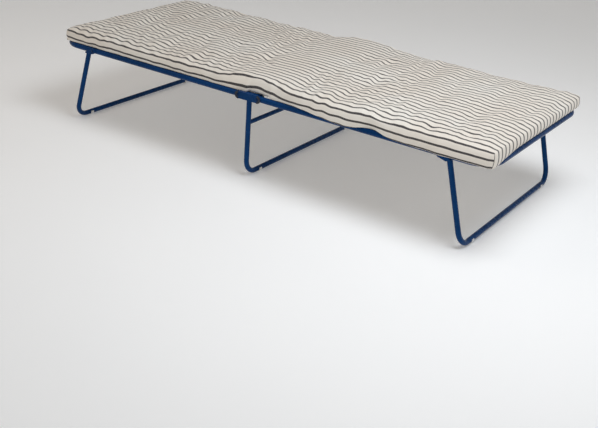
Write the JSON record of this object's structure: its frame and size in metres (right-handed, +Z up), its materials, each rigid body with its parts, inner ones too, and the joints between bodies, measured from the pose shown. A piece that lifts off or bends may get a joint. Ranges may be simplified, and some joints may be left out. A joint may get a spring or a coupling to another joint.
{
  "type": "folding cot",
  "caption": "Folding cot: hinged blue tube frame on three U legs, zigzag spring deck and a striped ticking pad that folds with it.",
  "frame": {"origin": "on the floor under the middle of the open bed", "axes": "+X along the bed towards the foot end, +Y across the bed, +Z up"},
  "size_m": [1.9055, 0.792, 0.366],
  "materials": {
    "blue_enamel": "gloss",
    "spring_wire": "satin",
    "rivet_steel": "satin",
    "cap_black": "matte",
    "glide_white": "gloss",
    "ticking": "woven",
    "foam": "matte",
    "strap_rubber": "matte",
    "hook_black": "satin"
  },
  "bodies": {
    "head_half": {"head_frame_tube": "blue_enamel", "head_leg_rivets": "rivet_steel", "head_pad_cover": "ticking", "head_pad_foam": "foam", "head_rail_plugs": "cap_black", "head_spring_1": "spring_wire", "head_spring_2": "spring_wire", "head_spring_3": "spring_wire", "head_spring_4": "spring_wire", "head_spring_5": "spring_wire", "head_spring_6": "spring_wire", "head_spring_7": "spring_wire", "head_spring_8": "spring_wire", "head_spring_lugs": "blue_enamel"},
    "hinge_link": {"hinge_channel_far": "blue_enamel", "hinge_channel_near": "blue_enamel", "hinge_end_caps": "cap_black", "hinge_rivets": "rivet_steel", "middle_leg_feet": "glide_white", "middle_leg_stretcher": "blue_enamel", "middle_leg_tube": "blue_enamel"},
    "foot_half": {"foot_frame_tube": "blue_enamel", "foot_leg_rivets": "rivet_steel", "foot_pad_cover": "ticking", "foot_pad_foam": "foam", "foot_rail_plugs": "cap_black", "foot_spring_1": "spring_wire", "foot_spring_2": "spring_wire", "foot_spring_3": "spring_wire", "foot_spring_4": "spring_wire", "foot_spring_5": "spring_wire", "foot_spring_6": "spring_wire", "foot_spring_7": "spring_wire", "foot_spring_8": "spring_wire", "foot_spring_lugs": "blue_enamel"},
    "head_leg": {"head_leg_bracket_far": "blue_enamel", "head_leg_bracket_near": "blue_enamel", "head_leg_feet": "glide_white", "head_leg_tube": "blue_enamel"},
    "foot_leg": {"foot_leg_bracket_far": "blue_enamel", "foot_leg_bracket_near": "blue_enamel", "foot_leg_feet": "glide_white", "foot_leg_tube": "blue_enamel"},
    "strap": {"strap_band": "strap_rubber", "strap_hook": "hook_black"}
  },
  "joints": [
    {"name": "fold", "type": "hinge", "parent": "head_half", "child": "hinge_link", "pos_m": [-0.041, 0, 0.313], "axis": [0, 1, 0], "range_deg": [0, 90]},
    {"name": "foot_fold", "type": "hinge", "parent": "hinge_link", "child": "foot_half", "pos_m": [0.041, 0, 0.313], "axis": [0, 1, 0], "range_deg": [0, 90]},
    {"name": "head_leg_fold", "type": "hinge", "parent": "head_half", "child": "head_leg", "pos_m": [-0.766, 0, 0.313], "axis": [0, -1, 0], "range_deg": [0, 105.5]},
    {"name": "foot_leg_fold", "type": "hinge", "parent": "foot_half", "child": "foot_leg", "pos_m": [0.766, 0, 0.313], "axis": [0, 1, 0], "range_deg": [0, 105.5]},
    {"name": "strap_swing", "type": "hinge", "parent": "head_half", "child": "strap", "pos_m": [-0.94, 0, 0.313], "axis": [0, 1, 0], "range_deg": [0, 90]}
  ],
  "couplings": [
    {"joint": "foot_fold", "follows": "fold", "ratio": 1},
    {"joint": "head_leg_fold", "follows": "fold", "ratio": 1.1721},
    {"joint": "foot_leg_fold", "follows": "fold", "ratio": 1.1721}
  ]
}
